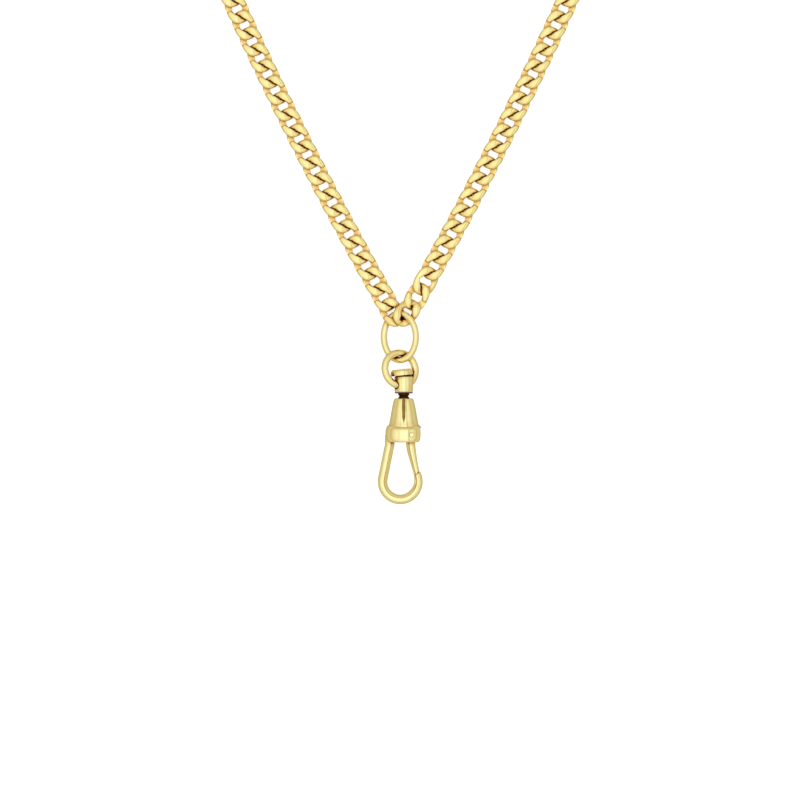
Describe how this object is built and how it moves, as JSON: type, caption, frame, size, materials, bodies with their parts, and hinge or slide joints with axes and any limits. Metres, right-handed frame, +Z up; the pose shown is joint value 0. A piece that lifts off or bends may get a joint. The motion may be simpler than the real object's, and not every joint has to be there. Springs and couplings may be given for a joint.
{
  "type": "pocket watch chain",
  "caption": "Flat curb link neck chain that joins two oval rings and a swivel dog clip with a sprung gate, for carrying a pocket watch.",
  "frame": {"origin": "middle of the bounding box of the whole chain as it lies flat, on the surface it lies on", "axes": "+Z up from the surface, +Y from the clip towards the back of the neck loop, +X to the right seen from above"},
  "size_m": [0.1528, 0.2812, 0.0052],
  "materials": {
    "chain_gold": "polished yellow gold, flat faces brushed by wear",
    "ring_gold": "polished yellow gold wire",
    "clip_gold": "polished yellow gold",
    "inner_gold": "dull gold, in shadow"
  },
  "bodies": {
    "link_bottom_left": {"link_bottom_left": "chain_gold"},
    "link_left_01": {"link_left_01": "chain_gold"},
    "link_left_02": {"link_left_02": "chain_gold"},
    "link_left_03": {"link_left_03": "chain_gold"},
    "link_left_04": {"link_left_04": "chain_gold"},
    "link_left_05": {"link_left_05": "chain_gold"},
    "link_left_06": {"link_left_06": "chain_gold"},
    "link_left_07": {"link_left_07": "chain_gold"},
    "link_left_08": {"link_left_08": "chain_gold"},
    "link_left_09": {"link_left_09": "chain_gold"},
    "link_left_10": {"link_left_10": "chain_gold"},
    "link_left_11": {"link_left_11": "chain_gold"},
    "link_left_12": {"link_left_12": "chain_gold"},
    "link_left_13": {"link_left_13": "chain_gold"},
    "link_left_14": {"link_left_14": "chain_gold"},
    "link_left_15": {"link_left_15": "chain_gold"},
    "link_left_16": {"link_left_16": "chain_gold"},
    "link_left_17": {"link_left_17": "chain_gold"},
    "link_left_18": {"link_left_18": "chain_gold"},
    "link_left_19": {"link_left_19": "chain_gold"},
    "link_left_20": {"link_left_20": "chain_gold"},
    "link_right_01": {"link_right_01": "chain_gold"},
    "link_right_02": {"link_right_02": "chain_gold"},
    "link_right_03": {"link_right_03": "chain_gold"},
    "link_right_04": {"link_right_04": "chain_gold"},
    "link_right_05": {"link_right_05": "chain_gold"},
    "link_right_06": {"link_right_06": "chain_gold"},
    "link_right_07": {"link_right_07": "chain_gold"},
    "link_right_08": {"link_right_08": "chain_gold"},
    "link_right_09": {"link_right_09": "chain_gold"},
    "link_right_10": {"link_right_10": "chain_gold"},
    "link_right_11": {"link_right_11": "chain_gold"},
    "link_right_12": {"link_right_12": "chain_gold"},
    "link_right_13": {"link_right_13": "chain_gold"},
    "link_right_14": {"link_right_14": "chain_gold"},
    "link_right_15": {"link_right_15": "chain_gold"},
    "link_right_16": {"link_right_16": "chain_gold"},
    "link_right_17": {"link_right_17": "chain_gold"},
    "link_right_18": {"link_right_18": "chain_gold"},
    "link_right_19": {"link_right_19": "chain_gold"},
    "link_right_20": {"link_right_20": "chain_gold"},
    "link_bottom_right": {"link_bottom_right": "chain_gold"},
    "band_left_1": {"band_left_1": "chain_gold"},
    "band_left_2": {"band_left_2": "chain_gold"},
    "band_left_3": {"band_left_3": "chain_gold"},
    "band_right_1": {"band_right_1": "chain_gold"},
    "band_right_2": {"band_right_2": "chain_gold"},
    "band_right_3": {"band_right_3": "chain_gold"},
    "ring_large": {"ring_large": "ring_gold"},
    "ring_small": {"ring_small": "ring_gold"},
    "swivel": {"swivel_barrel": "clip_gold", "swivel_cap": "clip_gold", "swivel_pin": "inner_gold"},
    "clip": {"clip_body": "clip_gold", "hook": "clip_gold", "gate_pin": "inner_gold", "gate_spring": "inner_gold"},
    "gate": {"gate": "clip_gold"}
  },
  "joints": [
    {"name": "gate_hinge", "type": "hinge", "parent": "clip", "child": "gate", "pos_m": [0.002, -0.12847, 0.0026], "axis": [0, 0, -1], "range_deg": [0, 24], "stiffness_Nm_per_rad": 0.0004, "springref_deg": -20.05},
    {"name": "swivel_turn", "type": "hinge", "parent": "swivel", "child": "clip", "pos_m": [0.00062, -0.12187, 0.0026], "axis": [0, 1, 0], "continuous": true},
    {"name": "swivel_on_ring", "type": "hinge", "parent": "ring_small", "child": "swivel", "pos_m": [0.00062, -0.11987, 0.0026], "axis": [0.8832, 0, -0.4691], "range_deg": [-20, 20]},
    {"name": "ring_on_ring", "type": "hinge", "parent": "ring_large", "child": "ring_small", "pos_m": [0.00005, -0.11467, 0.0019], "axis": [1, 0, 0], "range_deg": [-45, 45]},
    {"name": "ring_on_chain", "type": "hinge", "parent": "link_bottom_right", "child": "ring_large", "pos_m": [0.00005, -0.10717, 0.0016], "axis": [1, 0, 0], "range_deg": [-12, 18]},
    {"name": "bottom_joint", "type": "hinge", "parent": "link_bottom_left", "child": "link_bottom_right", "pos_m": [0.00005, -0.10757, 0.0015], "axis": [0, 1, 0], "range_deg": [-15, 15]},
    {"name": "left_joint_01", "type": "hinge", "parent": "link_bottom_left", "child": "link_left_01", "pos_m": [-0.00215, -0.10558, 0.00095], "axis": [0.8713, 0.4907, 0], "range_deg": [-8, 14]},
    {"name": "left_joint_02", "type": "hinge", "parent": "link_left_01", "child": "link_left_02", "pos_m": [-0.0037, -0.10282, 0.00095], "axis": [-0.8735, -0.4868, 0], "range_deg": [-30, 30]},
    {"name": "left_joint_03", "type": "hinge", "parent": "link_left_02", "child": "link_left_03", "pos_m": [-0.00525, -0.10005, 0.00095], "axis": [0.8758, 0.4827, 0], "range_deg": [-30, 30]},
    {"name": "left_joint_04", "type": "hinge", "parent": "link_left_03", "child": "link_left_04", "pos_m": [-0.00678, -0.09728, 0.00095], "axis": [-0.8781, -0.4785, 0], "range_deg": [-30, 30]},
    {"name": "left_joint_05", "type": "hinge", "parent": "link_left_04", "child": "link_left_05", "pos_m": [-0.00829, -0.09449, 0.00095], "axis": [0.8803, 0.4744, 0], "range_deg": [-30, 30]},
    {"name": "left_joint_06", "type": "hinge", "parent": "link_left_05", "child": "link_left_06", "pos_m": [-0.00979, -0.09171, 0.00095], "axis": [-0.8825, -0.4702, 0], "range_deg": [-30, 30]},
    {"name": "left_joint_07", "type": "hinge", "parent": "link_left_06", "child": "link_left_07", "pos_m": [-0.01128, -0.08891, 0.00095], "axis": [0.8847, 0.4661, 0], "range_deg": [-30, 30]},
    {"name": "left_joint_08", "type": "hinge", "parent": "link_left_07", "child": "link_left_08", "pos_m": [-0.01276, -0.08611, 0.00095], "axis": [-0.8869, -0.4619, 0], "range_deg": [-30, 30]},
    {"name": "left_joint_09", "type": "hinge", "parent": "link_left_08", "child": "link_left_09", "pos_m": [-0.01422, -0.0833, 0.00095], "axis": [0.8891, 0.4577, 0], "range_deg": [-30, 30]},
    {"name": "left_joint_10", "type": "hinge", "parent": "link_left_09", "child": "link_left_10", "pos_m": [-0.01568, -0.08048, 0.00095], "axis": [-0.8912, -0.4535, 0], "range_deg": [-30, 30]},
    {"name": "left_joint_11", "type": "hinge", "parent": "link_left_10", "child": "link_left_11", "pos_m": [-0.01711, -0.07766, 0.00095], "axis": [0.8934, 0.4493, 0], "range_deg": [-30, 30]},
    {"name": "left_joint_12", "type": "hinge", "parent": "link_left_11", "child": "link_left_12", "pos_m": [-0.01853, -0.07483, 0.00095], "axis": [-0.8955, -0.4451, 0], "range_deg": [-30, 30]},
    {"name": "left_joint_13", "type": "hinge", "parent": "link_left_12", "child": "link_left_13", "pos_m": [-0.01995, -0.07199, 0.00095], "axis": [0.8976, 0.4409, 0], "range_deg": [-30, 30]},
    {"name": "left_joint_14", "type": "hinge", "parent": "link_left_13", "child": "link_left_14", "pos_m": [-0.02134, -0.06915, 0.00095], "axis": [-0.8996, -0.4366, 0], "range_deg": [-30, 30]},
    {"name": "left_joint_15", "type": "hinge", "parent": "link_left_14", "child": "link_left_15", "pos_m": [-0.02272, -0.0663, 0.00095], "axis": [0.9017, 0.4324, 0], "range_deg": [-30, 30]},
    {"name": "left_joint_16", "type": "hinge", "parent": "link_left_15", "child": "link_left_16", "pos_m": [-0.02409, -0.06344, 0.00095], "axis": [-0.9037, -0.4281, 0], "range_deg": [-30, 30]},
    {"name": "left_joint_17", "type": "hinge", "parent": "link_left_16", "child": "link_left_17", "pos_m": [-0.02545, -0.06058, 0.00095], "axis": [0.9057, 0.4239, 0], "range_deg": [-30, 30]},
    {"name": "left_joint_18", "type": "hinge", "parent": "link_left_17", "child": "link_left_18", "pos_m": [-0.02679, -0.05771, 0.00095], "axis": [-0.9077, -0.4196, 0], "range_deg": [-30, 30]},
    {"name": "left_joint_19", "type": "hinge", "parent": "link_left_18", "child": "link_left_19", "pos_m": [-0.02812, -0.05483, 0.00095], "axis": [0.9097, 0.4153, 0], "range_deg": [-30, 30]},
    {"name": "left_joint_20", "type": "hinge", "parent": "link_left_19", "child": "link_left_20", "pos_m": [-0.02944, -0.05195, 0.00095], "axis": [-0.9116, -0.411, 0], "range_deg": [-30, 30]},
    {"name": "right_joint_01", "type": "hinge", "parent": "link_bottom_right", "child": "link_right_01", "pos_m": [0.00215, -0.10556, 0.00095], "axis": [-0.8713, 0.4907, 0], "range_deg": [-10, 35]},
    {"name": "right_joint_02", "type": "hinge", "parent": "link_right_01", "child": "link_right_02", "pos_m": [0.0037, -0.1028, 0.00095], "axis": [0.8735, -0.4868, 0], "range_deg": [-22, 22]},
    {"name": "right_joint_03", "type": "hinge", "parent": "link_right_02", "child": "link_right_03", "pos_m": [0.00525, -0.10003, 0.00095], "axis": [-0.8758, 0.4827, 0], "range_deg": [-25, 25]},
    {"name": "right_joint_04", "type": "hinge", "parent": "link_right_03", "child": "link_right_04", "pos_m": [0.00678, -0.09726, 0.00095], "axis": [0.8781, -0.4785, 0], "range_deg": [-30, 30]},
    {"name": "right_joint_05", "type": "hinge", "parent": "link_right_04", "child": "link_right_05", "pos_m": [0.00829, -0.09448, 0.00095], "axis": [-0.8803, 0.4744, 0], "range_deg": [-30, 30]},
    {"name": "right_joint_06", "type": "hinge", "parent": "link_right_05", "child": "link_right_06", "pos_m": [0.00979, -0.09169, 0.00095], "axis": [0.8825, -0.4702, 0], "range_deg": [-30, 30]},
    {"name": "right_joint_07", "type": "hinge", "parent": "link_right_06", "child": "link_right_07", "pos_m": [0.01128, -0.08889, 0.00095], "axis": [-0.8847, 0.4661, 0], "range_deg": [-30, 30]},
    {"name": "right_joint_08", "type": "hinge", "parent": "link_right_07", "child": "link_right_08", "pos_m": [0.01276, -0.08609, 0.00095], "axis": [0.8869, -0.4619, 0], "range_deg": [-30, 30]},
    {"name": "right_joint_09", "type": "hinge", "parent": "link_right_08", "child": "link_right_09", "pos_m": [0.01422, -0.08328, 0.00095], "axis": [-0.8891, 0.4577, 0], "range_deg": [-30, 30]},
    {"name": "right_joint_10", "type": "hinge", "parent": "link_right_09", "child": "link_right_10", "pos_m": [0.01568, -0.08046, 0.00095], "axis": [0.8912, -0.4535, 0], "range_deg": [-30, 30]},
    {"name": "right_joint_11", "type": "hinge", "parent": "link_right_10", "child": "link_right_11", "pos_m": [0.01711, -0.07764, 0.00095], "axis": [-0.8934, 0.4493, 0], "range_deg": [-30, 30]},
    {"name": "right_joint_12", "type": "hinge", "parent": "link_right_11", "child": "link_right_12", "pos_m": [0.01853, -0.07481, 0.00095], "axis": [0.8955, -0.4451, 0], "range_deg": [-30, 30]},
    {"name": "right_joint_13", "type": "hinge", "parent": "link_right_12", "child": "link_right_13", "pos_m": [0.01995, -0.07197, 0.00095], "axis": [-0.8976, 0.4409, 0], "range_deg": [-30, 30]},
    {"name": "right_joint_14", "type": "hinge", "parent": "link_right_13", "child": "link_right_14", "pos_m": [0.02134, -0.06913, 0.00095], "axis": [0.8996, -0.4366, 0], "range_deg": [-30, 30]},
    {"name": "right_joint_15", "type": "hinge", "parent": "link_right_14", "child": "link_right_15", "pos_m": [0.02272, -0.06628, 0.00095], "axis": [-0.9017, 0.4324, 0], "range_deg": [-30, 30]},
    {"name": "right_joint_16", "type": "hinge", "parent": "link_right_15", "child": "link_right_16", "pos_m": [0.02409, -0.06342, 0.00095], "axis": [0.9037, -0.4281, 0], "range_deg": [-30, 30]},
    {"name": "right_joint_17", "type": "hinge", "parent": "link_right_16", "child": "link_right_17", "pos_m": [0.02545, -0.06056, 0.00095], "axis": [-0.9057, 0.4239, 0], "range_deg": [-30, 30]},
    {"name": "right_joint_18", "type": "hinge", "parent": "link_right_17", "child": "link_right_18", "pos_m": [0.02679, -0.05769, 0.00095], "axis": [0.9077, -0.4196, 0], "range_deg": [-30, 30]},
    {"name": "right_joint_19", "type": "hinge", "parent": "link_right_18", "child": "link_right_19", "pos_m": [0.02812, -0.05481, 0.00095], "axis": [-0.9097, 0.4153, 0], "range_deg": [-30, 30]},
    {"name": "right_joint_20", "type": "hinge", "parent": "link_right_19", "child": "link_right_20", "pos_m": [0.02944, -0.05193, 0.00095], "axis": [0.9116, -0.411, 0], "range_deg": [-30, 30]},
    {"name": "left_band_joint_1", "type": "hinge", "parent": "link_left_20", "child": "band_left_1", "pos_m": [-0.03074, -0.04906, 0.00095], "axis": [0.9116, 0.411, 0], "range_deg": [-12, 12]},
    {"name": "left_band_joint_2", "type": "hinge", "parent": "band_left_1", "child": "band_left_2", "pos_m": [-0.0633, 0.02314, 0.0006], "axis": [-0.9116, -0.411, 0], "range_deg": [-12, 12]},
    {"name": "left_band_joint_3", "type": "hinge", "parent": "band_left_2", "child": "band_left_3", "pos_m": [-0.06587, 0.09898, 0.0006], "axis": [0.8837, -0.468, 0], "range_deg": [-12, 12]},
    {"name": "right_band_joint_1", "type": "hinge", "parent": "link_right_20", "child": "band_right_1", "pos_m": [0.03074, -0.04904, 0.00095], "axis": [-0.9116, 0.411, 0], "range_deg": [-12, 12]},
    {"name": "right_band_joint_2", "type": "hinge", "parent": "band_right_1", "child": "band_right_2", "pos_m": [0.0633, 0.02316, 0.0006], "axis": [0.9116, -0.411, 0], "range_deg": [-12, 12]},
    {"name": "right_band_joint_3", "type": "hinge", "parent": "band_right_2", "child": "band_right_3", "pos_m": [0.06587, 0.099, 0.0006], "axis": [-0.8837, -0.468, 0], "range_deg": [-12, 12]}
  ]
}
